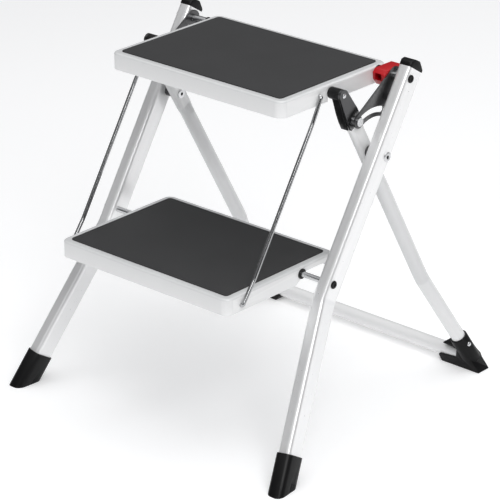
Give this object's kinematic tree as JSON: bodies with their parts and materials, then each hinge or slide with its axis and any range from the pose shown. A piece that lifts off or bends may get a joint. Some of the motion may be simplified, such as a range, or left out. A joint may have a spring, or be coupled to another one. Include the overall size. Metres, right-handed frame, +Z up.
{
  "type": "folding two-step step stool",
  "caption": "Free-standing folding step stool with matted steel treads, splayed front rails, a rear frame on scissor pivots, link rods and a red folding lock",
  "frame": {"origin": "on the floor, under the middle of the bounding box of the open stool", "axes": "+X to the stool's right, +Y to the back (away from the person climbing it), +Z up"},
  "size_m": [0.5014, 0.4866, 0.4979],
  "materials": {
    "white_paint": "white gloss powder coat on steel",
    "mat": "dark grey fine-grained non-slip mat",
    "black_plastic": "black moulded plastic",
    "bright_steel": "zinc plated steel",
    "chrome": "chromed wire rod",
    "plate_steel": "grey plated pressed steel",
    "red_plastic": "red moulded plastic"
  },
  "bodies": {
    "front_frame": {"front_rail_left": "white_paint", "front_foot_left": "black_plastic", "rail_cap_left": "black_plastic", "guide_plate_left": "plate_steel", "front_rail_right": "white_paint", "front_foot_right": "black_plastic", "rail_cap_right": "black_plastic", "guide_plate_right": "plate_steel", "top_hinge_rod": "bright_steel", "lower_hinge_rod": "bright_steel", "hinge_rod_caps": "black_plastic", "pivot_rivets": "bright_steel", "pivot_spacers": "plate_steel", "top_hinge_spacers": "bright_steel", "guide_fixings": "bright_steel"},
    "rear_frame": {"rear_leg_left": "white_paint", "leg_tongue_left": "plate_steel", "rear_foot_left": "black_plastic", "tread_support_left": "black_plastic", "rear_leg_right": "white_paint", "leg_tongue_right": "plate_steel", "rear_foot_right": "black_plastic", "tread_support_right": "black_plastic", "rear_crossbar": "white_paint", "rear_foot_rivets": "bright_steel", "support_rivets": "bright_steel", "guide_studs": "bright_steel"},
    "link_rods": {"link_rod_left": "chrome", "link_rod_right": "chrome", "link_rod_clips": "black_plastic"},
    "top_step": {"top_tread_pan": "white_paint", "top_tread_mat": "mat", "top_hinge_bushes": "black_plastic"},
    "lower_step": {"lower_tread_pan": "white_paint", "lower_tread_mat": "mat", "lower_hinge_bushes": "black_plastic"},
    "latch": {"fold_lock": "red_plastic"}
  },
  "joints": [
    {"name": "tread_fold", "type": "hinge", "parent": "front_frame", "child": "top_step", "pos_m": [0, 0.06758, 0.4745], "axis": [-1, 0, 0], "range_deg": [0, 110]},
    {"name": "lower_tread_fold", "type": "hinge", "parent": "front_frame", "child": "lower_step", "pos_m": [0, -0.0832, 0.2332], "axis": [-1, 0, 0], "range_deg": [0, 110]},
    {"name": "rear_frame_fold", "type": "hinge", "parent": "front_frame", "child": "rear_frame", "pos_m": [0, 0.02236, 0.37949], "axis": [-1, 0, 0], "range_deg": [0, 47.1]},
    {"name": "link_rod_swing", "type": "hinge", "parent": "top_step", "child": "link_rods", "pos_m": [0, -0.05142, 0.4705], "axis": [1, 0, 0], "range_deg": [0, 110]},
    {"name": "lock_lift", "type": "hinge", "parent": "top_step", "child": "latch", "pos_m": [0, 0.06758, 0.4745], "axis": [-1, 0, 0], "range_deg": [0, 8]}
  ],
  "couplings": [
    {"joint": "lower_tread_fold", "follows": "tread_fold", "ratio": 1},
    {"joint": "rear_frame_fold", "follows": "tread_fold", "ratio": 0.42727},
    {"joint": "link_rod_swing", "follows": "tread_fold", "ratio": 1}
  ]
}
